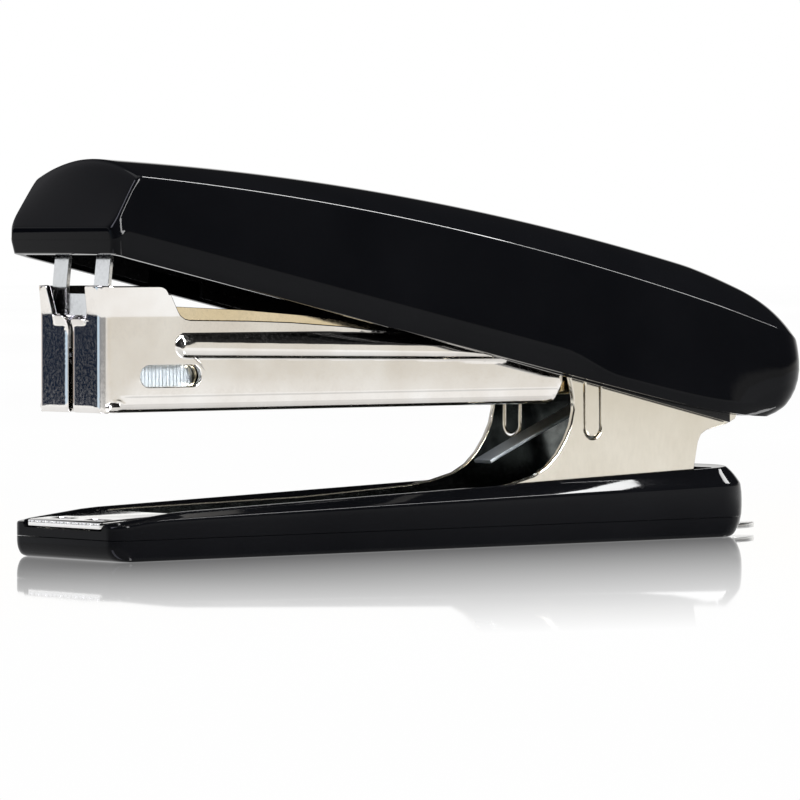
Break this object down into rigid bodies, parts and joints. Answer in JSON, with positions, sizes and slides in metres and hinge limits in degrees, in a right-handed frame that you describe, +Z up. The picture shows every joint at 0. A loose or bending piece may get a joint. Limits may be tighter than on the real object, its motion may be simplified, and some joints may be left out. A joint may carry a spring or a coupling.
{
  "type": "desk stapler",
  "caption": "Small hand stapler: a black handle and a chrome magazine turn on one pin over a channel base with a clinching plate.",
  "frame": {"origin": "middle of the footprint on the desk, at the underside of the sole", "axes": "+X towards the rear (the pivot end), +Y to the far side, +Z up; the nose with the driver is at -X"},
  "size_m": [0.108, 0.02, 0.0446],
  "materials": {
    "black_gloss": "polished moulded plastic",
    "black_matte": "fine matt moulded plastic",
    "black_steel": "satin black paint on steel",
    "pusher_black": "matt moulded plastic",
    "chrome": "bright plating",
    "plated_frame": "warm satin plating",
    "liner_steel": "warm bright plating",
    "bright_steel": "ground steel",
    "staple_wire": "galvanised wire",
    "spring_steel": "dull hard steel"
  },
  "bodies": {
    "base": {"base_shell": "black_gloss", "base_sole": "black_matte", "base_frame": "plated_frame", "anvil_plate": "chrome", "frame_rivet_front": "spring_steel", "frame_rivet_rear": "spring_steel", "staple_remover": "bright_steel", "lift_spring": "spring_steel", "pivot_pin": "spring_steel"},
    "magazine": {"magazine_shell": "chrome", "magazine_liner": "liner_steel", "staple_rail": "bright_steel", "staple_strip": "staple_wire", "guide_rod": "spring_steel", "rod_stop": "plated_frame", "pusher_spring": "spring_steel", "return_spring": "spring_steel"},
    "pusher": {"pusher": "pusher_black"},
    "handle": {"handle_cover": "black_gloss", "handle_arm": "black_steel", "driver_blade": "bright_steel", "driver_rivet_near": "spring_steel", "driver_rivet_far": "spring_steel"}
  },
  "joints": [
    {"name": "magazine_pivot", "type": "hinge", "parent": "base", "child": "magazine", "pos_m": [0.0415, 0, 0.0215], "axis": [0, 1, 0], "range_deg": [-7.2, 0], "stiffness_Nm_per_rad": 0.5, "springref_deg": 20.05, "deforming": ["lift_spring"]},
    {"name": "handle_pivot", "type": "hinge", "parent": "magazine", "child": "handle", "pos_m": [0.0415, 0, 0.0215], "axis": [0, 1, 0], "range_deg": [-4.5, 80], "stiffness_Nm_per_rad": 0.35, "springref_deg": 2.64, "deforming": ["return_spring"]},
    {"name": "pusher_slide", "type": "slide", "parent": "magazine", "child": "pusher", "axis": [1, 0, 0], "range_m": [0, 0.024], "stiffness_N_per_m": 60, "springref_m": -0.01, "deforming": ["pusher_spring"]}
  ]
}
